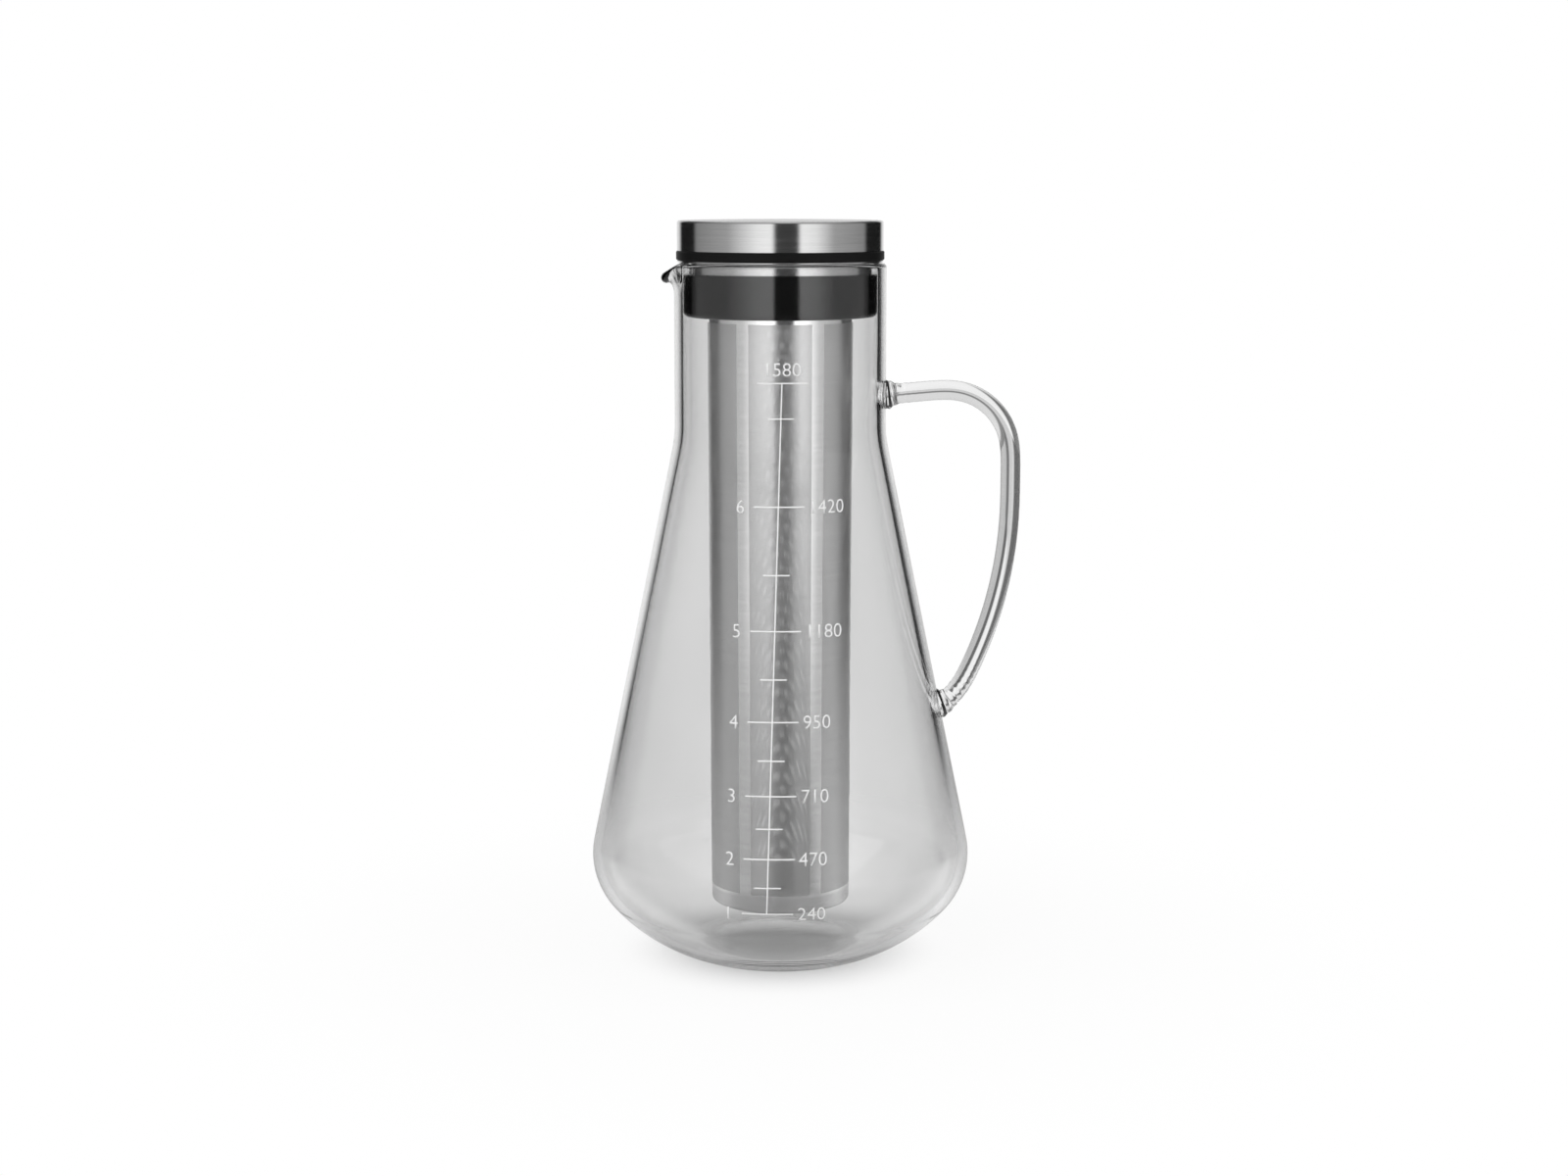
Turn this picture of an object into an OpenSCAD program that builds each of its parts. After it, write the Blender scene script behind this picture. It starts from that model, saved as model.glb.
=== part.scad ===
// Cold brew pitcher: a blown-glass carafe with a fused handle, a hanging steel filter and a lift-off lid.
// Millimetres, +Z up. The origin is on the ground under the carafe's axis, with the spout towards -X
// and the handle towards +X.

/* [Carafe] */
// Outer radius of the straight neck
neck_r = 37; // [30:0.5:45]
// Height of the rim above the ground
rim_z = 246; // [205:1:296]
// Height where the straight neck starts
shoulder_z = 190.5; // [158:0.5:195]
// Radius of the hollow curve from the cone into the neck
neck_blend = 45; // [30:1:60]
// Widest outer radius of the body
body_r = 67.2; // [56:0.2:81]
// Radius of the curve from the cone into the belly
belly_blend = 26; // [21:0.5:32]
// Radius of the long curve under the belly
heel_r = 63.5; // [53:0.5:76]
// Slope of the glass where the belly curve passes into the heel curve
heel_start = 41.7; // [36:0.1:48]
// Slope of the glass where the heel curve passes into the foot curve
heel_end = 73.5; // [65:0.5:80]
// Radius of the curve from the heel to the flat foot
foot_blend = 10; // [8:0.5:12]
// Width of the flat ring that the glass stands on
foot_w = 5; // [3:0.5:8]
// Height of the push-up in the middle of the base
punt_h = 1.6; // [1:0.1:3]
// Thickness of the glass
wall = 3; // [2.5:0.1:3.6]
// Radius of the fire-polished edges of the rim
rim_round = 1.2; // [0.8:0.1:1.2]

/* [Spout] */
// Radius of the spout's throat, seen from above
spout_throat_r = 8; // [6.5:0.1:10]
// Radius of the lip's outward curl
spout_curl = 7.4; // [6:0.1:9]
// Thickness of the pulled lip
spout_wall = 2.4; // [2:0.1:2.5]
// Depth below the rim where the lip starts to curl
spout_depth = 12; // [10:0.1:14.4]
// How far the lip's tip lies below the rim
spout_drop = 4.6; // [3:0.1:6]

/* [Handle] */
// Diameter of the glass rod
rod_d = 7; // [5.8:0.1:8.4]
// Distance from the carafe's axis to the grip's middle line
handle_reach = 81; // [78:0.5:97]
// Height of the centre of the upper bend
bend_z = 180; // [150:1:192]
// Radius of the upper bend
bend_r = 22; // [18:0.5:26]
// Rise of the upper arm away from the neck, in degrees
arm_rise = 5; // [0:0.5:10]
// Height where the straight grip ends
grip_z = 165; // [138:1:176]
// Radius of the long curve back towards the body
sweep_r = 148; // [124:1:176]
// Angle of the long curve
sweep_angle = 27.6; // [23:0.2:33]
// Radius of the tight bend at the lower weld
tuck_r = 12.5; // [10:0.5:15]
// Angle of the tight bend
tuck_angle = 44; // [36:1:52]
// Extra radius of the rod where it is fused to the glass
weld_rise = 1.6; // [0.5:0.1:2]
// Length over which a weld thins out to the rod
weld_len = 2.6; // [1.5:0.1:4]

/* [Filter] */
// Thickness of the collar's steel sheet
collar_t = 0.8; // [0.6:0.1:1]
// Depth of the collar below the rim
collar_depth = 16.5; // [14:0.5:20]
// How far the collar's flange reaches past the glass bore
flange_over = 1.9; // [1.2:0.1:2.3]
// Thickness of the gasket's wall
gasket_t = 1.65; // [1.2:0.05:2]
// Depth of the gasket's upper edge below the rim
gasket_top_drop = 3.6; // [3:0.1:5]
// Thickness of the gasket's lip under the collar
gasket_lip_t = 2; // [1.5:0.1:3]
// Radius of the gasket's lower edge
gasket_round = 2; // [1:0.1:2.4]
// Width of the collar's shelf between its outside and the tube
shelf_w = 6.55; // [5.4:0.05:7.9]
// How much smaller the tube's radius is at the bottom than at the top
tube_taper = 0.9; // [0:0.1:2]
// Thickness of the perforated sheet
tube_t = 0.5; // [0.4:0.05:0.8]
// Width of the tube's out-turned top edge
tube_lip = 2.4; // [1.5:0.1:3]
// Height of the plain base cup
cup_h = 6; // [4:0.5:10]
// Radius of the base cup's lower edge
cup_round = 1.4; // [0.9:0.1:2]
// Free height between the glass floor and the base cup
cup_clear = 13.8; // [8:0.2:30]

/* [Lid] */
// How far the cap stands in from the neck's outside
cap_inset = 1.1; // [0.5:0.1:2]
// Height of the steel cap
cap_h = 10.5; // [8.5:0.5:13]
// Thickness of the cap's sheet
cap_t = 0.6; // [0.5:0.1:1]
// Radius of the cap's upper edge
cap_round = 1.3; // [1.1:0.1:2]
// Thickness of the seal's visible ring
seal_ring_h = 3; // [2.5:0.1:3.6]
// How far the seal's ring stands out past the cap
seal_proud = 0.3; // [0:0.05:0.6]
// Depth of the plug in the collar's mouth
plug_depth = 10.4; // [8.5:0.2:12.5]
// Thickness of the seal's skirt around the plug
skirt_t = 1.5; // [1:0.1:2]
// How far the seal's beads stand out of its skirt
bead_rise = 0.7; // [0.4:0.1:1]
// Wall thickness of the lid's core
core_t = 2; // [1.6:0.1:2.6]

/* [Hidden] */

$fn = 96;

// Clearances
glide_gap = 0.3;      // between pieces that lift past each other
sleeve_gap = 0.05;    // between a stretched sleeve and what it sits on
rim_gap = 0.3;        // between the round glass rim and the filter's flange

// Angle between the points of a profile's arcs
arc_step = 3;
// Sides of the handle rod, and its rings in each welded end
rod_sides = 24;
weld_rings = 9;
// Depth to which the rod runs into the glass before it is trimmed to the surface
weld_sink = 2;

// Carafe profile: centres of its arcs, and the cone's half-angle
belly_z = belly_blend * sin(heel_start) + heel_r * (sin(heel_end) - sin(heel_start))
    + foot_blend * (1 - sin(heel_end));
belly_c = [body_r - belly_blend, belly_z];
heel_c = belly_c - (heel_r - belly_blend) * [cos(heel_start), -sin(heel_start)];
foot_c = heel_c + (heel_r - foot_blend) * [cos(heel_end), -sin(heel_end)];
neck_c = [neck_r + neck_blend, shoulder_z];
cone_span = neck_c - belly_c;
cone_tilt = atan2(cone_span.y, cone_span.x) - acos((belly_blend + neck_blend) / norm(cone_span));
cone_foot = belly_c + belly_blend * [cos(cone_tilt), sin(cone_tilt)];
bore_r = neck_r - wall;
foot_in_r = foot_c.x - foot_w;

// Spout: the lip is the mouth of a flared bell whose axis stands inside the neck
spout_root = wall - spout_wall + 0.2;
spout_axis = neck_r - spout_root - spout_throat_r;
spout_z = rim_z - spout_depth;
spout_open = 75;      // slope to which the curl runs
spout_trim_in = 0.5;  // where the trimmed rim starts, inside the bore
spout_trim_out = 5;   // where the trim reaches its full drop, outside the neck

// Handle: middle line from the neck, over the bend, down the grip and back into the cone
bend_c = [handle_reach - bend_r, bend_z];
arm_dir = [cos(arm_rise), sin(arm_rise)];
arm_end = bend_c + bend_r * [-sin(arm_rise), cos(arm_rise)];
arm_glass = arm_end - arm_dir * (arm_end.x - neck_r) / arm_dir.x;
arm_start = arm_glass - arm_dir * weld_sink;
sweep_c = [handle_reach - sweep_r, grip_z];
tuck_c = sweep_c + (sweep_r - tuck_r) * [cos(sweep_angle), -sin(sweep_angle)];
tuck_turn = sweep_angle + tuck_angle;
tuck_dir = [-sin(tuck_turn), -cos(tuck_turn)];
tuck_end = tuck_c + tuck_r * [cos(tuck_turn), -sin(tuck_turn)];
tuck_run = (cone_foot.x - (tuck_end.y - cone_foot.y) * tan(cone_tilt) - tuck_end.x)
    / (tuck_dir.x + tuck_dir.y * tan(cone_tilt));
tuck_glass = tuck_end + tuck_dir * max(tuck_run, 0);
tuck_stop = tuck_glass + tuck_dir * (weld_sink + rod_d / 2);

// Filter: it hangs by its flange on the rim
gasket_r = bore_r - glide_gap;
collar_r = gasket_r - gasket_t;
mouth_r = collar_r - collar_t;
flange_r = bore_r + flange_over;
flange_z = rim_z + rim_gap;
collar_top = flange_z + collar_t;
shelf_z = rim_z - collar_depth;
shelf_top = shelf_z + collar_t;
shelf_bend = 2;       // outer radius of the collar's drawn lower corner
flange_bend = 0.4;    // inner radius of the bend from the collar's wall into its flange
tube_top_r = collar_r - shelf_w;
tube_bottom_r = tube_top_r - tube_taper;
shelf_hole_r = tube_top_r + glide_gap;
gasket_top = rim_z - gasket_top_drop;
gasket_foot = shelf_z - gasket_lip_t;
gasket_hole_r = shelf_hole_r + 1;
gasket_edge = 0.6;    // radius of the gasket's upper edge
cup_z = wall + punt_h + cup_clear;
cup_top = cup_z + cup_h;

// Lid: its ring rests on the collar's flange, its plug hangs in the collar's mouth
cap_r = neck_r - cap_inset;
seal_top = collar_top + seal_ring_h;
seal_r = cap_r + seal_proud;
seal_edge = 0.4;      // radius of the edges of the seal's ring
bead_r = mouth_r - glide_gap;
skirt_r = bead_r - bead_rise;
plug_r = skirt_r - skirt_t - sleeve_gap;
plug_z = collar_top - plug_depth;
bead_h = 1.8;         // height of a bead
bead_turn = 2 * atan2(bead_rise, bead_h / 2);
bead_curve = bead_h / 2 / sin(bead_turn);
bead_places = [0.3, 0.7];
plug_round = core_t / 2;
cap_top = seal_top + cap_h;
cap_ceiling = cap_top - cap_t;
core_r = cap_r - cap_t - sleeve_gap;

// Points of an arc without its first point, which ends the stretch before it
function arc(centre, radius, from, to, step = arc_step) =
    let (count = max(2, ceil(abs(to - from) / step)))
    [for (i = [1:count]) let (a = from + (to - from) * i / count) centre + radius * [cos(a), sin(a)]];

// Glass outline from the foot up to the top of the straight neck, moved in by a depth
function glass_side(depth) = concat(
    [[foot_c.x, depth]],
    arc(foot_c, foot_blend - depth, -90, -heel_end),
    arc(heel_c, heel_r - depth, -heel_end, -heel_start),
    arc(belly_c, belly_blend - depth, -heel_start, cone_tilt),
    arc(neck_c, neck_blend + depth, 180 + cone_tilt, 180),
    [[neck_r - depth, rim_z - rim_round]]
);

function reversed(points) = [for (i = [len(points) - 1:-1:0]) points[i]];

// Section of the glass: outside, rim, inside, and the push-up under the base
glass_section = concat(
    [[0, punt_h], [foot_in_r / 2, punt_h * 3 / 4], [foot_in_r, 0]],
    glass_side(0),
    arc([neck_r - rim_round, rim_z - rim_round], rim_round, 0, 90, 15),
    [[bore_r + rim_round, rim_z]],
    arc([bore_r + rim_round, rim_z - rim_round], rim_round, 90, 180, 15),
    reversed([for (p = glass_side(wall)) if (p.y < rim_z - rim_round) p]),
    [[foot_in_r, wall], [foot_in_r / 2, wall + punt_h * 3 / 4], [0, wall + punt_h]]
);

// Everything inside the carafe's outer surface
module glass_form() {
    rotate_extrude() polygon(concat([[0, 0]], glass_side(0), [[0, rim_z - rim_round]]));
}

// Solid bell that opens upwards with a round curl, from its throat to a height near the rim
module spout_bell(throat_r, curl_r, open, top_z) {
    translate([-spout_axis, 0, spout_z])
        rotate_extrude()
            difference() {
                square([throat_r + curl_r * (1 - cos(open)), top_z - spout_z]);
                translate([throat_r + curl_r, 0]) circle(curl_r);
            }
}

// Space above the spout's sloping edge
module spout_trim() {
    reach = spout_trim_in + wall + spout_trim_out;
    block = 3 * reach;
    translate([-bore_r + spout_trim_in, 0, rim_z])
        rotate([0, -atan2(spout_drop, reach), 0])
            translate([-block, -block, 0]) cube([block, 2 * block, block]);
}

module carafe_body() {
    color([0.82, 0.86, 0.87, 0.4])
        difference() {
            union() {
                rotate_extrude() polygon(glass_section);
                difference() {
                    spout_bell(spout_throat_r, spout_curl, spout_open, rim_z - rim_round / 2);
                    cylinder(r = bore_r + wall / 2, h = 2 * rim_z);
                }
            }
            spout_bell(spout_throat_r - spout_wall, spout_curl + spout_wall, spout_open - 10, rim_z + wall);
            spout_trim();
        }
}

// Middle line of the rod, with its rings closer together at the welds
rod_line = concat(
    [for (i = [0:weld_rings]) arm_start + (arm_end - arm_start) * pow(i / weld_rings, 2)],
    arc(bend_c, bend_r, 90 + arm_rise, 0, 6),
    [[handle_reach, grip_z]],
    arc(sweep_c, sweep_r, 0, -sweep_angle),
    arc(tuck_c, tuck_r, -sweep_angle, -tuck_turn, 7),
    [for (i = [1:weld_rings]) tuck_end + (tuck_stop - tuck_end) * i / weld_rings]
);

function rod_tangent(i) =
    let (d = rod_line[min(i + 1, len(rod_line) - 1)] - rod_line[max(i - 1, 0)]) d / norm(d);

// Radius of the rod, swollen where it meets the glass
function weld_swell(p, glass) = weld_rise * exp(-pow(norm(p - glass) / weld_len, 2));
function rod_radius(p) = rod_d / 2 + weld_swell(p, arm_glass) + weld_swell(p, tuck_glass);

// One ring of points around the rod's middle line
function rod_ring(i) =
    let (p = rod_line[i], t = rod_tangent(i), r = rod_radius(p))
    [for (k = [0:rod_sides - 1])
        let (a = 360 * k / rod_sides)
        [p.x - t.y * r * cos(a), r * sin(a), p.y + t.x * r * cos(a)]];

module rod() {
    rings = len(rod_line);
    points = [for (i = [0:rings - 1]) each rod_ring(i)];
    sides = [for (i = [0:rings - 2], k = [0:rod_sides - 1])
        let (a = i * rod_sides + k, b = i * rod_sides + (k + 1) % rod_sides)
        each [[a, a + rod_sides, b + rod_sides], [a, b + rod_sides, b]]];
    start = [for (k = [0:rod_sides - 1]) k];
    end = [for (k = [rod_sides - 1:-1:0]) (rings - 1) * rod_sides + k];
    polyhedron(points, concat(sides, [start, end]));
}

module carafe_handle() {
    color([0.82, 0.86, 0.87, 0.4])
        difference() {
            rod();
            glass_form();
        }
}

module filter_collar() {
    bend_in = shelf_bend - collar_t;
    corner = [collar_r - shelf_bend, shelf_z + shelf_bend];
    flange_c = [collar_r + flange_bend, flange_z - flange_bend];
    color([0.72, 0.72, 0.73])
        rotate_extrude()
            polygon(concat(
                [[shelf_hole_r, shelf_z], [corner.x, shelf_z]],
                arc(corner, shelf_bend, -90, 0, 15),
                [[collar_r, flange_c.y]],
                arc(flange_c, flange_bend, 180, 90, 30),
                [[flange_r, flange_z], [flange_r, collar_top], [flange_c.x, collar_top]],
                arc(flange_c, flange_bend + collar_t, 90, 180, 15),
                [[mouth_r, corner.y]],
                arc(corner, bend_in, 0, -90, 15),
                [[shelf_hole_r, shelf_top]]
            ));
}

module filter_gasket() {
    color([0.07, 0.07, 0.07])
        rotate_extrude()
            polygon(concat(
                [[gasket_hole_r, gasket_foot], [gasket_r - gasket_round, gasket_foot]],
                arc([gasket_r - gasket_round, gasket_foot + gasket_round], gasket_round, -90, 0, 15),
                [[gasket_r, gasket_top - gasket_edge]],
                arc([gasket_r - gasket_edge, gasket_top - gasket_edge], gasket_edge, 0, 90, 30),
                [[collar_r + sleeve_gap, gasket_top], [collar_r + sleeve_gap, shelf_z]],
                [[gasket_hole_r, shelf_z]]
            ));
}

module filter_tube() {
    bend_in = shelf_hole_r - tube_top_r;
    lip_c = [shelf_hole_r, shelf_top - bend_in];
    lip_r = tube_top_r + tube_lip;
    color([0.62, 0.62, 0.63])
        rotate_extrude()
            polygon(concat(
                [[tube_bottom_r - tube_t, cup_top], [tube_bottom_r, cup_top], [tube_top_r, lip_c.y]],
                arc(lip_c, bend_in, 180, 90, 30),
                [[lip_r, shelf_top], [lip_r, shelf_top + tube_t], [lip_c.x, shelf_top + tube_t]],
                arc(lip_c, bend_in + tube_t, 90, 180, 30)
            ));
}

module filter_base_cup() {
    edge = [tube_bottom_r - cup_round, cup_z + cup_round];
    color([0.72, 0.72, 0.73])
        rotate_extrude()
            polygon(concat(
                [[0, cup_z], [edge.x, cup_z]],
                arc(edge, cup_round, -90, 0, 15),
                [[tube_bottom_r, cup_top], [tube_bottom_r - tube_t, cup_top]],
                [[tube_bottom_r - tube_t, edge.y]],
                arc(edge, cup_round - tube_t, 0, -90, 15),
                [[0, cup_z + tube_t]]
            ));
}

module lid_cap() {
    edge = [cap_r - cap_round, cap_top - cap_round];
    color([0.72, 0.72, 0.73])
        rotate_extrude()
            polygon(concat(
                [[cap_r - cap_t, seal_top], [cap_r, seal_top], [cap_r, edge.y]],
                arc(edge, cap_round, 0, 90, 15),
                [[0, cap_top], [0, cap_ceiling], [edge.x, cap_ceiling]],
                arc(edge, cap_round - cap_t, 90, 0, 15)
            ));
}

// Moulded cup: its wall is the plug, its brim carries the cap
module lid_core() {
    brim_top = seal_top + core_t;
    color([0.08, 0.08, 0.08])
        rotate_extrude()
            polygon(concat(
                [[0, plug_z], [plug_r - plug_round, plug_z]],
                arc([plug_r - plug_round, plug_z + plug_round], plug_round, -90, 0, 15),
                [[plug_r, seal_top], [core_r, seal_top], [core_r, cap_top - cap_round]],
                [[core_r - cap_round, cap_ceiling], [core_r - cap_round - core_t, cap_ceiling]],
                [[core_r - cap_round - core_t, brim_top], [plug_r - core_t, brim_top]],
                [[plug_r - core_t, plug_z + core_t], [0, plug_z + core_t]]
            ));
}

// Round bead on the seal's skirt at a height
function bead(z) = concat(
    [[skirt_r, z - bead_h / 2]],
    arc([bead_r - bead_curve, z], bead_curve, -bead_turn, bead_turn, 20)
);

// Silicone ring under the cap with a beaded skirt around the plug
module lid_seal() {
    skirt_in = plug_r + sleeve_gap;
    skirt_foot = plug_z + plug_round;
    skirt_h = collar_top - skirt_foot;
    ring_r = seal_r - seal_edge;
    color([0.06, 0.06, 0.06])
        rotate_extrude()
            polygon(concat(
                [[skirt_in, skirt_foot], [skirt_r, skirt_foot]],
                [for (place = bead_places) each bead(skirt_foot + place * skirt_h)],
                [[skirt_r, collar_top], [ring_r, collar_top]],
                arc([ring_r, collar_top + seal_edge], seal_edge, -90, 0, 30),
                [[seal_r, seal_top - seal_edge]],
                arc([ring_r, seal_top - seal_edge], seal_edge, 0, 90, 30),
                [[skirt_in, seal_top]]
            ));
}

carafe_body();
carafe_handle();
filter_collar();
filter_gasket();
filter_tube();
filter_base_cup();
lid_cap();
lid_core();
lid_seal();
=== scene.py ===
"""Looks of the cold brew pitcher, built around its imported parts.

Shapes are drawn in millimetres and become meshes in metres. +Z is up, the spout points to -X, the
handle to +X, and the photograph is taken from -Y.
"""
import math

import bmesh
import bpy
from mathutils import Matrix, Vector


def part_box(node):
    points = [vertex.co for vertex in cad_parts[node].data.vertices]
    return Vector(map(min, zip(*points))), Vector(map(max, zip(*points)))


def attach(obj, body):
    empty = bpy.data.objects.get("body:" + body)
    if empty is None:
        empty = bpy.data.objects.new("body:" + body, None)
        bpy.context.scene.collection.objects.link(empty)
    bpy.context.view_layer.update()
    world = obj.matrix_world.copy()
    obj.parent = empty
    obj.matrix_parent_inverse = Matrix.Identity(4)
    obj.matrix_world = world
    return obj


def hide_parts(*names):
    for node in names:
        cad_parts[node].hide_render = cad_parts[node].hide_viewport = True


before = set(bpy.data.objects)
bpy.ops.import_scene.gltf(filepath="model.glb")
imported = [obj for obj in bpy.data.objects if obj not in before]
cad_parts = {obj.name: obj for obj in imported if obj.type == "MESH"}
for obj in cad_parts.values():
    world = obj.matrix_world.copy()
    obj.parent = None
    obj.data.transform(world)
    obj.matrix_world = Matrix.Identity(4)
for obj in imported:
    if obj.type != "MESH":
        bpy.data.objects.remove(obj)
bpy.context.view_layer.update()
scene = bpy.context.scene

MM = 0.001
SEGMENTS = 288                    # sides of a turned piece
ON_AXIS = 1e-6                    # a smaller radius counts as a point on the axis
SHARP = math.radians(32)          # a sharper edge isn't shaded smooth
NOISE_LOW, NOISE_HIGH = 0.3, 0.7  # range that most of a noise lies in
WHITE = (1.0, 1.0, 1.0, 1.0)


# Sizes in millimetres

def box_mm(node):
    """Lowest and highest corner of a part, in millimetres."""
    low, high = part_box(node)
    return low / MM, high / MM


glass_high = box_mm("carafe_body")[1]
handle_high = box_mm("carafe_handle")[1]
collar_low, collar_high = box_mm("filter_collar")
gasket_low, gasket_high = box_mm("filter_gasket")
tube_low, tube_high = box_mm("filter_tube")
cup_low, cup_high = box_mm("filter_base_cup")
cap_low, cap_high = box_mm("lid_cap")
core_low, core_high = box_mm("lid_core")
seal_low, seal_high = box_mm("lid_seal")

# Carafe: the arcs of its outline, from the foot to the neck
rim_z = glass_high.z
body_r = glass_high.y
wall = 3.0
neck_r = 37.0
shoulder_z = 190.5
neck_blend = 45.0
belly_blend = 26.0
heel_r = 63.5
heel_start = 41.7
heel_end = 73.5
foot_blend = 10.0
foot_w = 5.0
punt_h = 1.6
punt_rings = 8

# Spout: the rim is drawn out and down over a short stretch
spout_foot_z = 234.5
spout_half_angle = 19.0
spout_reach = 4.1
spout_reach_curve = 2.3           # powers of the height at which the wall runs out and down
spout_drop = 3.6
spout_drop_curve = 3.0
spout_swell = 0.3                 # share by which the drawn edge is thicker
spout_swell_curve = 3.0
spout_rings = 30

# Handle: a bent rod
rod_r = 3.5
handle_reach = handle_high.x - rod_r
bend_z = 180.0
bend_r = 22.0
arm_rise = 5.0
grip_z = 165.0
sweep_r = 148.0
sweep_angle = 27.6
tuck_r = 12.5
tuck_angle = 44.0
rod_sides = 48
rod_step = 0.5                    # spacing of the rod's rings
ease_reach = 18                   # rings on each side over which its bends run into each other
weld_sink = 1.4
weld_rise = 1.7
weld_len = 2.8
swirl_rise = 0.3
swirl_pitch = 2.3
swirl_fade = 4.5
merge_gap = 0.01                  # points of the fused glass that are closer become one

# Filter
fit_gap = 0.05                    # between soft pieces and what they sit on
collar_t = 0.8
shelf_gap = 0.3                   # between the tube and the hole in the collar's shelf
gasket_t = 1.65
gasket_lip = 2.0
gasket_round = 2.0
gasket_edge = 0.7
gasket_gap = 1.3                  # between the tube and the hole in the gasket's lip
gasket_chamfer = 0.4
tube_t = 0.5
sheet_t = 0.12                    # thickness of the sheet between its holes
tube_lip = 2.4
cup_round = 1.4
shelf_bend = 2.0
flange_bend = 0.4
lip_bend = 0.3
collar_r = gasket_high.x - gasket_t
tube_top_r = tube_high.x - tube_lip
tube_bottom_r = cup_high.x

# Lid
cap_t = 0.6
cap_round = 1.3
cap_edge = 0.8                    # radius of the cap's upper edge as it shows
cap_hem = 0.2
cap_top_facing = 0.9              # a face that looks up more than this is part of the cap's top
core_t = 2.0
skirt_t = 1.5
skirt_chamfer = 0.3
bead_rise = 0.7
bead_half_h = 0.9
bead_places = (0.3, 0.7)          # shares of the skirt's height
bead_gap = 0.3                    # between the beads and the collar
seal_edge = 0.4
bead_r = collar_r - collar_t - bead_gap
plug_r = bead_r - bead_rise - skirt_t - fit_gap


def polar(centre, radius, degrees):
    """Point at an angle around a centre."""
    angle = math.radians(degrees)
    return centre[0] + radius * math.cos(angle), centre[1] + radius * math.sin(angle)


def arc(centre, radius, start, end, step=2.0):
    """Points along an arc, in degrees, without its first point."""
    count = max(2, math.ceil(abs(end - start) / step))
    return [polar(centre, radius, start + (end - start) * i / count) for i in range(1, count + 1)]


def between(a, b, count):
    """Evenly spaced points after a, up to and with b."""
    return [tuple(p + (q - p) * i / count for p, q in zip(a, b)) for i in range(1, count + 1)]


# Meshes

def shade_smooth(mesh):
    """Shades a mesh smooth up to its sharp edges."""
    mesh.polygons.foreach_set("use_smooth", [True] * len(mesh.polygons))
    mesh.set_sharp_from_angle(angle=SHARP)


def evaluated_mesh(piece):
    """New mesh of an object with its modifiers, or its text, worked out."""
    return bpy.data.meshes.new_from_object(piece.evaluated_get(bpy.context.evaluated_depsgraph_get()))


def mesh_piece(name, points, faces):
    """Smoothly shaded object from points in millimetres."""
    mesh = bpy.data.meshes.new(name)
    mesh.from_pydata([tuple(MM * c for c in p) for p in points], [], faces)
    shade_smooth(mesh)
    piece = bpy.data.objects.new(name, mesh)
    scene.collection.objects.link(piece)
    return piece


def turned(name, profile):
    """Closed profile of (radius, height) points, counter-clockwise, turned about the axis."""
    points, rings = [], []
    for radius, height in profile:
        count = 1 if radius < ON_AXIS else SEGMENTS
        rings.append(range(len(points), len(points) + count))
        for k in range(count):
            angle = 2 * math.pi * k / SEGMENTS
            points.append((radius * math.cos(angle), radius * math.sin(angle), height))
    faces = []
    for here, there in zip(rings, rings[1:] + rings[:1]):
        for k in range(SEGMENTS):
            corners = (here[k % len(here)], here[(k + 1) % len(here)],
                       there[(k + 1) % len(there)], there[k % len(there)])
            face = tuple(dict.fromkeys(corners))
            if len(face) > 2:
                faces.append(face)
    return mesh_piece(name, points, faces)


def dress(piece, material, body, slot, *nodes):
    """Gives a piece its material and its body, and hides the parts that it stands for. The slot is not
    used.
    """
    piece.data.materials.append(material)
    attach(piece, body)
    if nodes:
        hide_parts(*nodes)
    return piece


# Node helpers

def new_material(name):
    """Material, its node tree and its main shader."""
    material = bpy.data.materials.new(name)
    material.use_nodes = True
    return material, material.node_tree, material.node_tree.nodes["Principled BSDF"]


def feed(tree, node, inputs):
    """Sets a node's inputs: a socket is linked, anything else is a value."""
    for key, value in inputs.items():
        if isinstance(value, bpy.types.NodeSocket):
            tree.links.new(value, node.inputs[key])
        else:
            node.inputs[key].default_value = value
    return node


def add(tree, kind, inputs=None, **settings):
    """New node with settings and inputs."""
    node = tree.nodes.new(kind)
    for key, value in settings.items():
        setattr(node, key, value)
    return feed(tree, node, inputs or {})


def maths(tree, operation, *values):
    """Result of a math node."""
    return add(tree, "ShaderNodeMath", dict(enumerate(values)), operation=operation).outputs[0]


def remap(tree, value, low, high, to_low, to_high, smooth=False):
    """Value mapped from one range to another and held there."""
    inputs = {"Value": value, "From Min": low, "From Max": high, "To Min": to_low, "To Max": to_high}
    kind = "SMOOTHSTEP" if smooth else "LINEAR"
    return add(tree, "ShaderNodeMapRange", inputs, interpolation_type=kind).outputs[0]


def noise(tree, vector, scale, detail=2.0, roughness=0.5):
    """Noise around 0.5."""
    inputs = {"Vector": vector, "Scale": scale, "Detail": detail, "Roughness": roughness}
    return add(tree, "ShaderNodeTexNoise", inputs).outputs["Fac"]


def grey(tree, value):
    """Colour of one grey level."""
    return add(tree, "ShaderNodeCombineColor", {0: value, 1: value, 2: value}).outputs[0]


def spread(tree, value, low, high):
    """Noise spread from its usual range over another."""
    return remap(tree, value, NOISE_LOW, NOISE_HIGH, low, high)


def object_point(tree):
    """Point on the piece, in metres."""
    return add(tree, "ShaderNodeTexCoord").outputs["Object"]


def parts(tree, vector):
    """The three parts of a vector."""
    return add(tree, "ShaderNodeSeparateXYZ", {0: vector}).outputs


def diagonal(tree, a, b):
    """Length of the diagonal across two distances."""
    squares = maths(tree, "MULTIPLY", a, a), maths(tree, "MULTIPLY", b, b)
    return maths(tree, "SQRT", maths(tree, "ADD", *squares))


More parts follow.
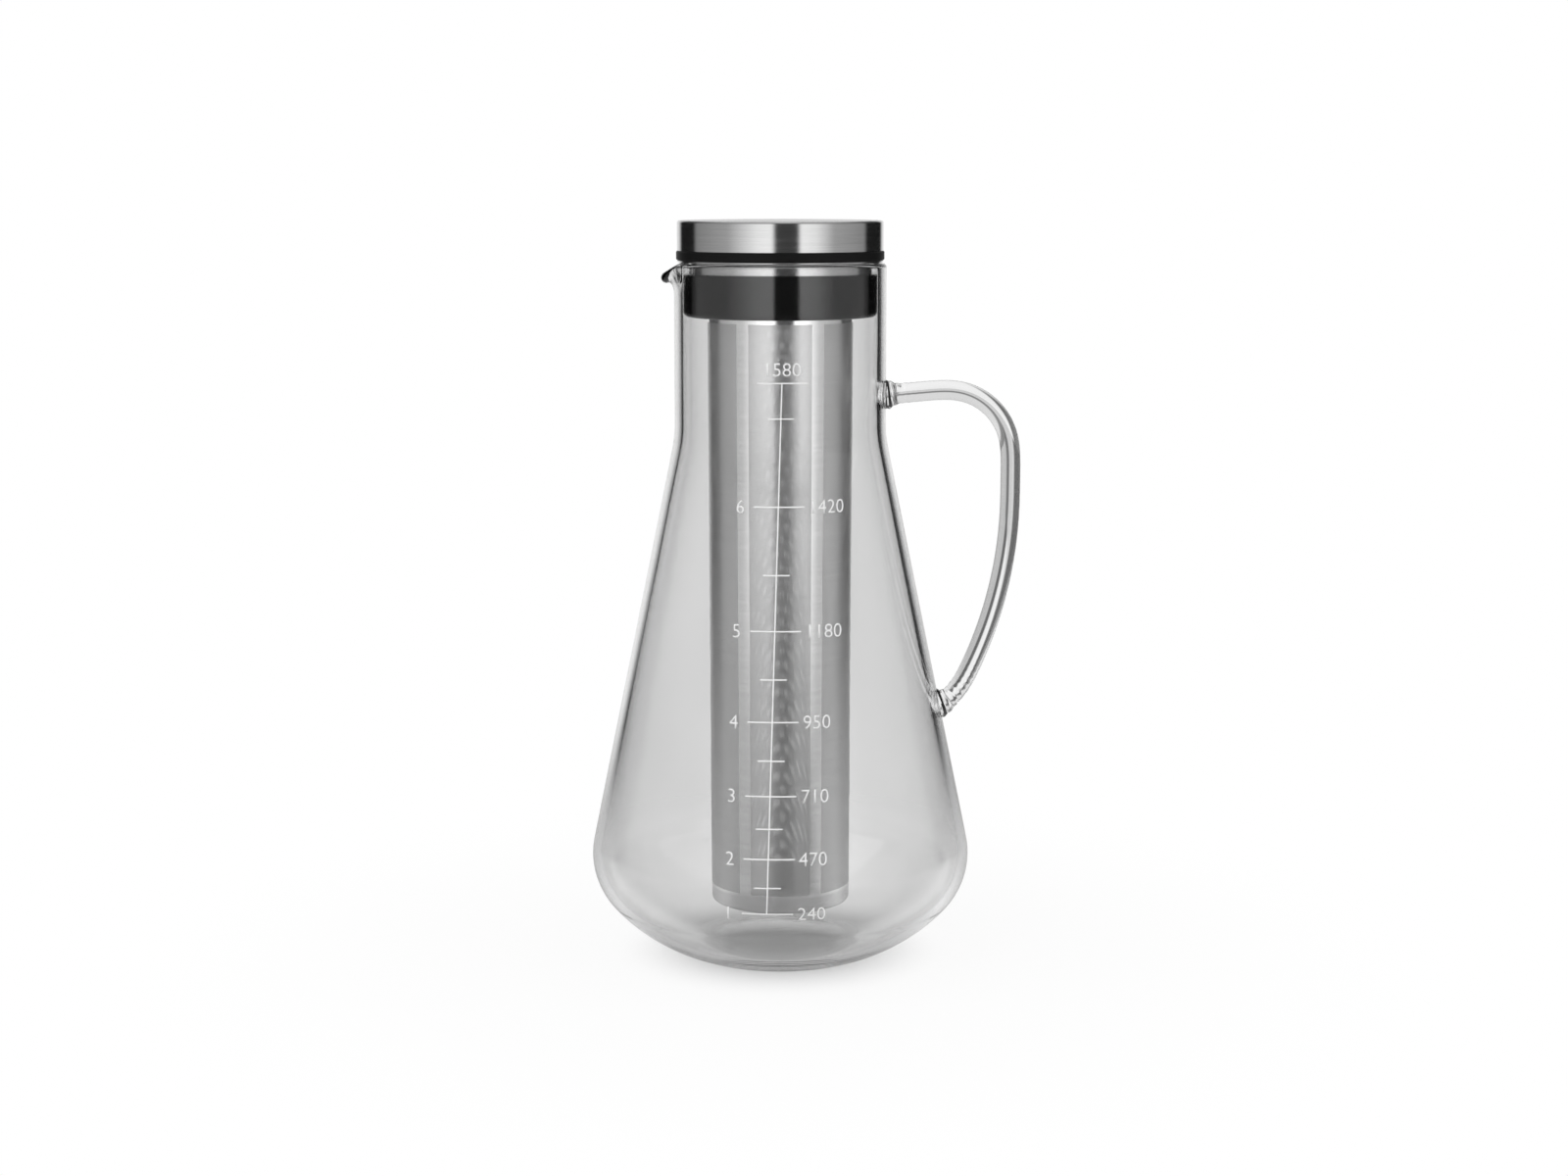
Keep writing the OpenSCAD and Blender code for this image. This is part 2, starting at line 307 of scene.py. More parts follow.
def turned_point(tree, stretch, height):
    """Point for noise that runs around the axis in streaks: angle, radius and height, each scaled."""
    x, y, z = parts(tree, object_point(tree))
    places = (maths(tree, "ARCTAN2", y, x), stretch), (diagonal(tree, x, y), height), (z, height)
    inputs = {i: maths(tree, "MULTIPLY", *place) for i, place in enumerate(places)}
    return add(tree, "ShaderNodeCombineXYZ", inputs).outputs[0]


def bump(tree, shader, height, strength, distance):
    """Relief from a height, on top of any relief that the shader has."""
    node = add(tree, "ShaderNodeBump", {"Height": height, "Strength": strength, "Distance": distance})
    for link in shader.inputs["Normal"].links:
        tree.links.new(link.from_socket, node.inputs["Normal"])
    tree.links.new(node.outputs[0], shader.inputs["Normal"])


# Materials

QUARTER_TURN = 0.25               # turns stretched highlights across the brushing
skin_relief = 0.03                # depth of brushing and of a rubber skin
grain_relief = 0.08               # depth of the plastic's grain

# Rings left in the heel by the mould: their spacing, and the height that they fade out around
ring_pitch = 1.1
ring_z, ring_h = 5.0, 3.5


def heel_rings(tree, z):
    """Height of the fine rings in the heel, which fade out below and above."""
    wave = maths(tree, "SINE", maths(tree, "MULTIPLY", z, 2 * math.pi / (ring_pitch * MM)))
    off = maths(tree, "ABSOLUTE", maths(tree, "SUBTRACT", z, ring_z * MM))
    return maths(tree, "MULTIPLY", wave, remap(tree, off, 0.0, ring_h * MM, 1.0, 0.0, True))


def glass(name, tint, edge_tint, waves, rings):
    """Clear glass with a faint grey tint, its own at the edges, slow waves and rings in the heel."""
    material, tree, shader = new_material(name)
    point = object_point(tree)
    feed(tree, shader, {"Transmission Weight": 1.0, "Roughness": 0.0, "IOR": 1.47})
    cloud = spread(tree, noise(tree, point, 14.0), -0.015, 0.015)
    facing = add(tree, "ShaderNodeLayerWeight", {"Blend": 0.5}).outputs["Facing"]
    depth = remap(tree, facing, 0.2, 0.9, tint, edge_tint)
    feed(tree, shader, {"Base Color": grey(tree, maths(tree, "ADD", depth, cloud))})
    ripples = noise(tree, turned_point(tree, 3.0, 22.0), 1.0, 1.0)
    bump(tree, shader, ripples, waves, MM)
    if rings:
        patches = noise(tree, turned_point(tree, 1.6, 40.0), 1.0, 1.0)
        patchy = remap(tree, patches, 0.4, 0.6, 0.2, 1.0, True)
        height = heel_rings(tree, parts(tree, point)[2])
        bump(tree, shader, maths(tree, "MULTIPLY", height, patchy), 1.0, rings * MM)
    return material


def brushed_steel(name, level, rough, streaks, stretch=0.7):
    """Steel brushed around its axis: fine streaks in colour and gloss, and stretched highlights."""
    material, tree, shader = new_material(name)
    fine = noise(tree, turned_point(tree, 2.5, 5200.0), 1.0, 3.0, 0.65)
    broad = noise(tree, turned_point(tree, 0.8, 700.0), 1.0, 2.0)
    fine_part = maths(tree, "MULTIPLY", fine, 0.65)
    mixed = maths(tree, "ADD", fine_part, maths(tree, "MULTIPLY", broad, 0.35))
    feed(tree, shader, {
        "Base Color": grey(tree, spread(tree, mixed, level - streaks, level + streaks)),
        "Metallic": 1.0,
        "Roughness": spread(tree, mixed, rough - 0.05, rough + 0.05),
        "Anisotropic": stretch,
        "Anisotropic Rotation": QUARTER_TURN,
        "Tangent": add(tree, "ShaderNodeTangent", direction_type="RADIAL", axis="Z").outputs[0],
    })
    bump(tree, shader, mixed, 0.06, skin_relief * MM)
    return material


# Perforated sheet: staggered holes between plain bands
hole_top_r, hole_foot_r = 0.075, 0.1
core_top_r, core_foot_r = 0.068, 0.085   # part of a hole that is seen through, past its wall
hole_wall_shade = 0.05                        # painted shade on a hole's wall
open_metallic, open_rough = 0.82, 0.2    # the sheet between the holes: how metallic, and how much rougher
hole_columns = 534
row_pitch = 0.26
plain_bands = 6
band_half_w = 2.3
hole_top_z = tube_high.z - 5.0
hole_low_z = tube_low.z + 1.0
hole_fade_z = tube_low.z + 40.0


def off_middle(tree, value):
    """How far a value is from the middle between two whole numbers."""
    return maths(tree, "SUBTRACT", maths(tree, "FRACT", value), 0.5)


def perforated_steel(name):
    """Steel sheet with staggered round holes, in panels between plain bands."""
    material, tree, shader = new_material(name)
    x, y, z = parts(tree, object_point(tree))
    girth = 2 * math.pi * tube_top_r
    turn = maths(tree, "DIVIDE", maths(tree, "ARCTAN2", y, x), 2 * math.pi)
    rows = maths(tree, "DIVIDE", z, row_pitch * MM)
    odd_row = maths(tree, "FLOORED_MODULO", maths(tree, "FLOOR", rows), 2.0)
    shift = maths(tree, "MULTIPLY", odd_row, 0.5)
    columns = maths(tree, "ADD", maths(tree, "MULTIPLY", turn, hole_columns), shift)
    across = maths(tree, "MULTIPLY", off_middle(tree, columns), girth / hole_columns)
    along = maths(tree, "MULTIPLY", off_middle(tree, rows), row_pitch)
    apart = diagonal(tree, across, along)
    hole, core = (
        maths(tree, "LESS_THAN", apart,
              remap(tree, z, hole_fade_z * MM, hole_top_z * MM, foot_r, top_r, True))
        for foot_r, top_r in ((hole_foot_r, hole_top_r), (core_foot_r, core_top_r)))
    panel = off_middle(tree, maths(tree, "MULTIPLY", turn, plain_bands))
    band_share = band_half_w * plain_bands / girth
    inside = maths(tree, "LESS_THAN", maths(tree, "ABSOLUTE", panel), 0.5 - band_share)
    below = maths(tree, "LESS_THAN", z, hole_top_z * MM)
    above = maths(tree, "GREATER_THAN", z, hole_low_z * MM)
    open_area = maths(tree, "MULTIPLY", maths(tree, "MULTIPLY", below, above), inside)
    metal = maths(tree, "SUBTRACT", 1.0, maths(tree, "MULTIPLY", hole, open_area))
    streak = noise(tree, turned_point(tree, 1.2, 900.0), 1.0, 3.0, 0.6)
    rougher = maths(tree, "MULTIPLY", open_area, open_rough)
    # Painted shade: a hole's wall, around the part that is seen through, is near black
    tone = maths(tree, "MULTIPLY", spread(tree, streak, 0.93, 1.0),
                 remap(tree, metal, 0.0, 1.0, hole_wall_shade, 1.0))
    feed(tree, shader, {
        "Base Color": grey(tree, tone),
        "Metallic": remap(tree, open_area, 0.0, 1.0, 1.0, open_metallic),
        "Roughness": maths(tree, "ADD", spread(tree, streak, 0.12, 0.18), rougher),
        "Anisotropic": 0.5,
        "Anisotropic Rotation": QUARTER_TURN,
        "Tangent": add(tree, "ShaderNodeTangent", direction_type="RADIAL", axis="Z").outputs[0],
        "Alpha": maths(tree, "SUBTRACT", 1.0, maths(tree, "MULTIPLY", core, open_area)),
    })
    return material


def silicone(name, rough, gloss):
    """Black silicone with a slight bloom and a fine skin."""
    material, tree, shader = new_material(name)
    bloom = noise(tree, object_point(tree), 700.0, 3.0)
    feed(tree, shader, {
        "Base Color": grey(tree, spread(tree, bloom, 0.003, 0.005)),
        "Roughness": spread(tree, bloom, rough - 0.02, rough + 0.02),
        "Specular IOR Level": gloss,
    })
    bump(tree, shader, bloom, 0.02, skin_relief * MM)
    return material


def moulded_plastic(name):
    """Matt black plastic with a fine moulded grain."""
    material, tree, shader = new_material(name)
    grain = noise(tree, object_point(tree), 1800.0, 3.0)
    feed(tree, shader, {
        "Base Color": grey(tree, spread(tree, grain, 0.018, 0.03)),
        "Roughness": spread(tree, grain, 0.45, 0.6),
    })
    bump(tree, shader, grain, 0.25, grain_relief * MM)
    return material


def enamel(name):
    """White fired print, a little uneven."""
    material, tree, shader = new_material(name)
    patches = noise(tree, object_point(tree), 900.0, 3.0)
    feed(tree, shader, {
        "Base Color": grey(tree, spread(tree, patches, 0.84, 0.92)),
        "Roughness": spread(tree, patches, 0.4, 0.55),
    })
    return material


body_glass = glass("body_glass", 0.83, 0.83, 0.02, 0.04)
rod_glass = glass("rod_glass", 0.95, 0.85, 0.02, 0.0)
cap_steel = brushed_steel("cap_steel", 0.56, 0.17, 0.05, 0.8)
top_steel = brushed_steel("top_steel", 0.7, 0.25, 0.03, 0.0)
collar_steel = brushed_steel("collar_steel", 0.6, 0.2, 0.04)
# Painted light: the cup is a lighter copy of the collar's steel
lit_cup_steel = brushed_steel("lit_cup_steel", 0.86, 0.2, 0.04)
filter_steel = perforated_steel("filter_steel")
gasket_silicone = silicone("gasket_silicone", 0.16, 0.24)
seal_silicone = silicone("seal_silicone", 0.5, 0.15)
black_plastic = moulded_plastic("black_plastic")
white_enamel = enamel("white_enamel")


# Carafe

belly_z = (belly_blend * math.sin(math.radians(heel_start))
           + heel_r * (math.sin(math.radians(heel_end)) - math.sin(math.radians(heel_start)))
           + foot_blend * (1 - math.sin(math.radians(heel_end))))
belly_c = (body_r - belly_blend, belly_z)
heel_c = polar(belly_c, -(heel_r - belly_blend), -heel_start)
foot_c = polar(heel_c, heel_r - foot_blend, -heel_end)
neck_c = (neck_r + neck_blend, shoulder_z)
cone_span = (neck_c[0] - belly_c[0], neck_c[1] - belly_c[1])
cone_tilt = math.degrees(math.atan2(cone_span[1], cone_span[0])
                         - math.acos((belly_blend + neck_blend) / math.hypot(*cone_span)))
foot_in_r = foot_c[0] - foot_w


def glass_side(depth):
    """Outline of the glass from the foot to the plain neck, moved in by a depth."""
    return ([(foot_c[0], depth)]
            + arc(foot_c, foot_blend - depth, -90, -heel_end)
            + arc(heel_c, heel_r - depth, -heel_end, -heel_start, 1.5)
            + arc(belly_c, belly_blend - depth, -heel_start, cone_tilt, 1.5)
            + arc(neck_c, neck_blend + depth, 180 + cone_tilt, 180, 1.0)
            + [(neck_r - depth, spout_foot_z)]
            + between((neck_r - depth, spout_foot_z), (neck_r - depth, rim_z - wall / 2), spout_rings))


def push_up(height):
    """Shallow dome under the base, from the axis out to the foot ring."""
    dome_r = (foot_in_r ** 2 + punt_h ** 2) / (2 * punt_h)
    radii = [foot_in_r * i / punt_rings for i in range(punt_rings + 1)]
    return [(r, height + punt_h - dome_r + math.sqrt(dome_r ** 2 - r ** 2)) for r in radii]


def draw_spout(x, y, z):
    """Bends the wall out and down around -X, with its thickness and its round edge kept."""
    off = abs(math.degrees(math.atan2(y, -x)))
    edge_z = rim_z - wall / 2
    if z <= spout_foot_z or off >= spout_half_angle:
        return x, y, z
    pull = math.cos(math.pi / 2 * off / spout_half_angle) ** 2
    middle_r = neck_r - wall / 2
    radius = math.hypot(x, y)
    height = min(z, edge_z)
    span = edge_z - spout_foot_z
    share = (height - spout_foot_z) / span
    out = spout_reach * pull * share ** spout_reach_curve
    down = spout_drop * pull * share ** spout_drop_curve
    tilt = math.atan2(spout_reach_curve * out, share * span - spout_drop_curve * down)
    swell = 1 + spout_swell * pull * share ** spout_swell_curve
    side, up = (radius - middle_r) * swell, (z - height) * swell
    grown = (middle_r + out + side * math.cos(tilt) + up * math.sin(tilt)) / radius
    return x * grown, y * grown, height - down - side * math.sin(tilt) + up * math.cos(tilt)


def glass_shell():
    """Blown body with a round rim and a drawn spout."""
    rim_c = (neck_r - wall / 2, rim_z - wall / 2)
    profile = (push_up(0) + glass_side(0) + arc(rim_c, wall / 2, 0, 180, 12)
               + glass_side(wall)[-2::-1] + push_up(wall)[::-1])
    shell = turned("carafe_glass", profile)
    for vertex in shell.data.vertices:
        vertex.co = Vector(draw_spout(*(vertex.co / MM))) * MM
    return shell


# Handle rod: its middle line in the X-Z plane

bend_c = (handle_reach - bend_r, bend_z)
arm_end = polar(bend_c, bend_r, 90 + arm_rise)
arm_dir = polar((0, 0), 1, arm_rise)
arm_glass = (neck_r, arm_end[1] - (arm_end[0] - neck_r) * math.tan(math.radians(arm_rise)))
arm_start = (arm_glass[0] - arm_dir[0] * weld_sink, arm_glass[1] - arm_dir[1] * weld_sink)
sweep_c = (handle_reach - sweep_r, grip_z)
tuck_c = polar(sweep_c, sweep_r - tuck_r, -sweep_angle)
tuck_turn = sweep_angle + tuck_angle
tuck_end = polar(tuck_c, tuck_r, -tuck_turn)
tuck_dir = polar((0, 0), 1, -tuck_turn - 90)


def glass_radius(height):
    """Outer radius of the glass at a height."""
    side = glass_side(0)
    for (r0, z0), (r1, z1) in zip(side, side[1:]):
        if z0 <= height <= z1:
            return r0 + (r1 - r0) * (height - z0) / (z1 - z0)
    return neck_r


def run_to_glass():
    """Length of the straight end from the tight bend to the glass."""
    run, step = 0.0, 0.05
    while tuck_end[0] + tuck_dir[0] * run > glass_radius(tuck_end[1] + tuck_dir[1] * run):
        run += step
    return run


tuck_run = run_to_glass()
tuck_glass = (tuck_end[0] + tuck_dir[0] * tuck_run, tuck_end[1] + tuck_dir[1] * tuck_run)
tuck_stop = (tuck_glass[0] + tuck_dir[0] * weld_sink, tuck_glass[1] + tuck_dir[1] * weld_sink)


def evenly(line, step):
    """Line with points at an even spacing."""
    points, left = [line[0]], step
    for a, b in zip(line, line[1:]):
        length = math.dist(a, b)
        while left <= length:
            points.append(tuple(p + (q - p) * left / length for p, q in zip(a, b)))
            left += step
        left -= length
    return points


def eased(line):
    """Evenly spaced line whose bends run smoothly into each other, with its ends kept."""
    points = []
    for i in range(len(line)):
        reach = min(ease_reach, i, len(line) - 1 - i)
        shares = [(reach + 1 - abs(k), line[i + k]) for k in range(-reach, reach + 1)]
        total = sum(share for share, point in shares)
        points.append(tuple(sum(share * point[axis] for share, point in shares) / total
                            for axis in (0, 1)))
    return points


rod_line = eased(evenly(
    [arm_start, arm_end]
    + arc(bend_c, bend_r, 90 + arm_rise, 0, 1)
    + [(handle_reach, grip_z)]
    + arc(sweep_c, sweep_r, 0, -sweep_angle, 0.5)
    + arc(tuck_c, tuck_r, -sweep_angle, -tuck_turn, 1)
    + [tuck_stop], rod_step))


def rod_radius(point, around):
    """Radius of the rod, swollen and a little swirled where it is fused to the glass."""
    radius = rod_r
    for weld in (arm_glass, tuck_glass):
        far = math.dist(point, weld)
        swirl = math.cos(2 * math.pi * far / swirl_pitch + around) * math.exp(-far / swirl_fade)
        radius += weld_rise * math.exp(-(far / weld_len) ** 2) + swirl_rise * swirl
    return radius


def glass_rod():
    """Round bar swept along the handle's middle line, with closed ends inside the glass."""
    points, faces = [], []
    last = len(rod_line) - 1
    for i, (px, pz) in enumerate(rod_line):
        before, after = rod_line[max(i - 1, 0)], rod_line[min(i + 1, last)]
        length = math.dist(before, after)
        tx, tz = (after[0] - before[0]) / length, (after[1] - before[1]) / length
        for k in range(rod_sides):
            around = 2 * math.pi * k / rod_sides
            radius = rod_radius((px, pz), around)
            out = radius * math.cos(around)
            points.append((px - tz * out, radius * math.sin(around), pz + tx * out))
    for i in range(last):
        for k in range(rod_sides):
            a, b = i * rod_sides + k, i * rod_sides + (k + 1) % rod_sides
            faces.append((a, a + rod_sides, b + rod_sides, b))
    faces.append(tuple(range(rod_sides)))
    faces.append(tuple(last * rod_sides + k for k in reversed(range(rod_sides))))
    return mesh_piece("handle_rod", points, faces)


def clean(mesh, distance):
    """Merges points closer than a distance, in millimetres, into triangles that face outwards."""
    shape = bmesh.new()
    shape.from_mesh(mesh)
    bmesh.ops.remove_doubles(shape, verts=shape.verts, dist=distance * MM)
    bmesh.ops.triangulate(shape, faces=shape.faces)
    bmesh.ops.recalc_face_normals(shape, faces=shape.faces)
    shape.to_mesh(mesh)
    shape.free()


def fuse(piece, other):
    """Joins another closed mesh to a piece, so that no wall is left between them."""
    joint = piece.modifiers.new("fuse", "BOOLEAN")
    joint.operation = "UNION"
    joint.solver = "EXACT"
    joint.object = other
    joint.material_mode = "TRANSFER"
    fused = evaluated_mesh(piece)
    piece.modifiers.clear()
    piece.data = fused
    bpy.data.objects.remove(other)
    clean(fused, merge_gap)
    shade_smooth(fused)


carafe = glass_shell()
handle = glass_rod()
carafe.data.materials.append(body_glass)
handle.data.materials.append(rod_glass)
fuse(carafe, handle)
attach(carafe, "carafe")
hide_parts("carafe_body", "carafe_handle")


# Filter

def collar():
    """Drawn ring with a flange on the rim and a shelf for the tube."""
    corner = (collar_r - shelf_bend, collar_low.z + shelf_bend)
    hole = tube_top_r + shelf_gap
    top, flange_r = collar_high.z, collar_high.x
    edge = collar_t / 2
    bend = (collar_r + flange_bend, top - collar_t - flange_bend)
    return turned("filter_collar_steel", (
        [(hole, collar_low.z)] + [(corner[0], collar_low.z)]
        + arc(corner, shelf_bend, -90, 0, 6)
        + [(collar_r, bend[1])]
        + arc(bend, flange_bend, 180, 90, 15)
        + [(flange_r - edge, top - collar_t)]
        + arc((flange_r - edge, top - edge), edge, -90, 90, 15)
        + [(bend[0], top)]
        + arc(bend, flange_bend + collar_t, 90, 180, 6)
        + [(collar_r - collar_t, corner[1])]
        + arc(corner, shelf_bend - collar_t, 0, -90, 6)
        + [(hole, collar_low.z + collar_t)]))


def gasket():
    """Sleeve around the collar with a round foot that lips under the shelf."""
    low, high, out = gasket_low.z, gasket_high.z, gasket_high.x
    inner = collar_r + fit_gap
    hole = tube_top_r + gasket_gap
    shelf = low + gasket_lip
    return turned("filter_gasket_sleeve", (
        [(hole, low + gasket_chamfer), (hole + gasket_chamfer, low), (out - gasket_round, low)]
        + arc((out - gasket_round, low + gasket_round), gasket_round, -90, 0, 6)
        + [(out, high - gasket_edge)]
        + arc((out - gasket_edge, high - gasket_edge), gasket_edge, 0, 90, 10)
        + [(inner, high), (inner, shelf), (hole, shelf)]))


def tube():
    """Tapered perforated tube with an out-turned top edge."""
    low, top = tube_low.z, tube_high.z
    bend = (tube_top_r + lip_bend, top - lip_bend - sheet_t)
    return turned("filter_tube_sheet", (
        [(tube_bottom_r - sheet_t, low), (tube_bottom_r, low), (tube_top_r, bend[1])]
        + arc(bend, lip_bend, 180, 90, 15)
        + [(tube_high.x, top - sheet_t), (tube_high.x, top), (bend[0], top)]
        + arc(bend, lip_bend + sheet_t, 90, 180, 15)))


def base_cup():
    """Plain cup that closes the tube's lower end."""
    low, high, out = cup_low.z, cup_high.z, cup_high.x
    edge = (out - cup_round, low + cup_round)
    return turned("filter_cup", (
        [(0.0, low), (edge[0], low)]
        + arc(edge, cup_round, -90, 0, 6)
        + [(out, high), (out - tube_t, high), (out - tube_t, edge[1])]
        + arc(edge, cup_round - tube_t, 0, -90, 6)
        + [(0.0, low + tube_t)]))


dress(collar(), collar_steel, "filter", "collar_steel", "filter_collar")
dress(gasket(), gasket_silicone, "filter", "black_silicone", "filter_gasket")
dress(tube(), filter_steel, "filter", "perforated_steel", "filter_tube")
dress(base_cup(), lit_cup_steel, "filter", "collar_steel", "filter_base_cup")


# Lid

def cap():
    """Drawn cap with a round upper edge and a broken lower one."""
    low, top, out = cap_low.z, cap_high.z, cap_high.x
    edge = (out - cap_edge, top - cap_edge)
    inner, hem = out - cap_t, cap_hem
    return turned("lid_cap_steel", (
        [(inner, low + hem), (inner + hem, low), (out - hem, low), (out, low + hem)]
        + between((out, low + hem), (out, edge[1]), 4)
        + arc(edge, cap_edge, 0, 90, 5)
        + [(0.0, top), (0.0, top - cap_t), (edge[0], top - cap_t)]
        + arc(edge, cap_edge - cap_t, 90, 0, 10)))


def core():
    """Moulded plug: a cup whose brim carries the cap."""
    low, top, out = core_low.z, core_high.z, core_high.x
    brim_low = cap_low.z
    brim_top = brim_low + core_t
    round_r = core_t / 2
    lip = out - cap_round
    return turned("lid_core_plug", (
        [(0.0, low), (plug_r - round_r, low)]
        + arc((plug_r - round_r, low + round_r), round_r, -90, 0, 10)
        + [(plug_r, brim_low), (out, brim_low), (out, top - cap_round), (lip, top)]
        + [(lip - core_t, top), (lip - core_t, brim_top), (plug_r - core_t, brim_top)]
        + [(plug_r - core_t, low + core_t), (0.0, low + core_t)]))


def seal():
    """Ring under the cap with a beaded skirt around the plug."""
    top, out = seal_high.z, seal_high.x
    ring_low = collar_high.z
    skirt_r = bead_r - bead_rise
    skirt_in = plug_r + fit_gap
    foot = seal_low.z
    beads = []
    for share in bead_places:
        z = foot + share * (ring_low - foot)
        beads += [(skirt_r, z - bead_half_h)]
        beads += [(skirt_r + bead_rise * math.cos(math.radians(a)),
                   z + bead_half_h * math.sin(math.radians(a))) for a in range(-75, 76, 15)]
        beads += [(skirt_r, z + bead_half_h)]
    ring = out - seal_edge
    return turned("lid_seal_ring", (
        [(skirt_in, foot), (skirt_r - skirt_chamfer, foot), (skirt_r, foot + skirt_chamfer)] + beads
        + [(skirt_r, ring_low), (ring, ring_low)]
        + arc((ring, ring_low + seal_edge), seal_edge, -90, 0, 15)
        + [(out, top - seal_edge)]
        + arc((ring, top - seal_edge), seal_edge, 0, 90, 15)
        + [(skirt_in, top)]))


lid_cap = dress(cap(), cap_steel, "lid", "cap_steel", "lid_cap")
lid_cap.data.materials.append(top_steel)
for face in lid_cap.data.polygons:
    face.material_index = int(face.normal.z > cap_top_facing)
dress(core(), black_plastic, "lid", "black_plastic", "lid_core")
dress(seal(), seal_silicone, "lid", "black_silicone", "lid_seal")


# Printed volume scale: plain numbers and lines on the front of the glass

step_ml = 236.6                   # what a full step reads
mark_ml = 233.3                   # what it holds
dead_ml = 20.0                    # held below the scale's zero
step_count = 6
full_ml = 1580.0
line_w = 0.43
line_parts, upright_parts = 12, 120
long_left, long_right = 8.4, 8.8
short_half = 4.5
digit_h = 4.6
digit_share = 0.7                 # height of a digit in a font of size 1
stroke_trim = 0.04
number_gap_left, number_gap_right = 11.5, 10.2
scale_top_x, scale_foot_x = 0.6, -4.5
print_base, print_rise = 0.02, 0.12
print_merge = 1e-4                # printed points that are closer become one
slice_h = 0.1                     # slices that the volume is counted in
CUBIC_MM_PER_ML = 1000


def height_at(volume_ml):
    """Height of the liquid in the empty carafe at a volume."""
    height, volume = wall + punt_h, 0.0
    while volume < volume_ml:
        volume += math.pi * (glass_radius(height) - wall) ** 2 * slice_h / CUBIC_MM_PER_ML
        height += slice_h
    return height


scale_foot = height_at(dead_ml + mark_ml)
scale_top = height_at(full_ml)


def scale_x(height):
    """Sideways place of the scale's upright line, which stands a little aslant."""
    share = (height - scale_foot) / (scale_top - scale_foot)
    return scale_foot_x + (scale_top_x - scale_foot_x) * share


def on_glass(across, height, rise):
    """Point on the front of the glass at a distance around it from the middle."""
    radius = glass_radius(height)
    angle = across / radius
    return (radius + rise) * math.sin(angle), -(radius + rise) * math.cos(angle), height


class Print:
    """Points and faces of everything printed, as thin closed strips."""

    def __init__(self):
        self.points = []
        self.faces = []

    def ribbon(self, edges):
        """Strip between pairs of edge points, each given as across and height."""
        start = len(self.points)
        for (a_x, a_z), (b_x, b_z) in edges:
            self.points += [on_glass(a_x, a_z, print_base), on_glass(b_x, b_z, print_base),
                            on_glass(b_x, b_z, print_rise), on_glass(a_x, a_z, print_rise)]
        for i in range(len(edges) - 1):
            here = start + 4 * i
            for k in range(4):
                n = (k + 1) % 4
                self.faces.append((here + k, here + n, here + 4 + n, here + 4 + k))
        end = start + 4 * (len(edges) - 1)
        self.faces.append((start + 3, start + 2, start + 1, start))
        self.faces.append((end, end + 1, end + 2, end + 3))

    def level_line(self, left, right, height):
        """Level line between two places around the glass."""
        places = [left + (right - left) * i / line_parts for i in range(line_parts + 1)]
        self.ribbon([((x, height - line_w / 2), (x, height + line_w / 2)) for x in places])

    def upright(self, low, high):
        """Upright line that follows the glass."""
        heights = [low + (high - low) * i / upright_parts for i in range(upright_parts + 1)]
        half = line_w / 2
        self.ribbon([((scale_x(z) + half, z), (scale_x(z) - half, z)) for z in heights])

    def number(self, text, across, height, align):
        """Plain number, centred on a height."""
        curve = bpy.data.curves.new("number", "FONT")
        curve.body = text
        curve.size = digit_h / digit_share
        curve.align_x = align
        curve.extrude = 0.5       # only tells the front from the back
        curve.offset = -stroke_trim
        curve.resolution_u = 4
        holder = bpy.data.objects.new("number", curve)
        scene.collection.objects.link(holder)
        mesh = evaluated_mesh(holder)
        bpy.data.objects.remove(holder)
        start = len(self.points)
        for vertex in mesh.vertices:
            rise = print_rise if vertex.co.z > 0 else print_base
            level = height + vertex.co.y - digit_h / 2
            self.points.append(on_glass(across + vertex.co.x, level, rise))
        self.faces += [tuple(start + v for v in face.vertices) for face in mesh.polygons]
        bpy.data.meshes.remove(mesh)


def volume_scale():
    """Upright line, level marks at each half step and plain numbers beside the full steps."""
    marks = Print()
    marks.upright(scale_foot, scale_top)
    for half in range(2, 2 * step_count + 2):
        z = height_at(dead_ml + mark_ml * half / 2)
        x = scale_x(z)
        if half % 2:
            marks.level_line(x - short_half, x + short_half, z)
            continue
        marks.level_line(x - long_left, x + long_right, z)
        marks.number(str(half // 2), x - number_gap_left, z, "RIGHT")
        marks.number(str(round(step_ml * half / 20) * 10), x + number_gap_right, z, "LEFT")
    x = scale_x(scale_top)
    marks.level_line(x - long_left, x + long_right, scale_top)
    marks.number(str(round(full_ml)), x, scale_top + digit_h, "CENTER")
    piece = mesh_piece("volume_scale", marks.points, marks.faces)
    clean(piece.data, print_merge)
    return piece


dress(volume_scale(), white_enamel, "carafe", "carafe_glass")


# Studio: panels of light around the object, seen in reflections only, on a plain white ground with a
# painted shadow

# Brightness of the surroundings by angle around the axis, in degrees from the viewer towards +X
studio_levels = (
    (-180, 0.95), (-154, 0.9), (-147, 0.45), (-143, 0.01), (-112, 0.01), (-106, 0.33), (-60, 0.54),
    (-25, 1.38), (-9, 1.5), (-5, 0.06), (19, 0.06), (23, 1.5), (40, 1.3), (62, 0.54), (106, 0.36),
    (112, 0.01), (148, 0.01), (152, 0.45), (158, 0.9), (180, 0.95),
)
# The same for the ground close to the object
near_levels = (
    (-180, 0.6), (-130, 0.6), (-95, 0.8), (-66, 0.5), (0, 0.38), (58, 0.5), (95, 0.95), (130, 0.6),
    (180, 0.6),
)
# The same for what is seen through the handle's rod, far away and closer
rod_far_levels = (
    (-180, 0.66), (-173, 0.62), (-169, 0.09), (-119, 0.09), (-110, 0.5), (110, 0.5), (158, 0.55),
    (162, 0.16), (169, 0.16), (172, 0.66), (180, 0.66),
)
rod_near_levels = (
    (-180, 0.95), (-168, 0.9), (-163, 0.13), (-119, 0.22), (110, 0.5), (161, 0.55), (164, 0.11),
    (172, 0.11), (175, 0.9), (180, 0.95),
)
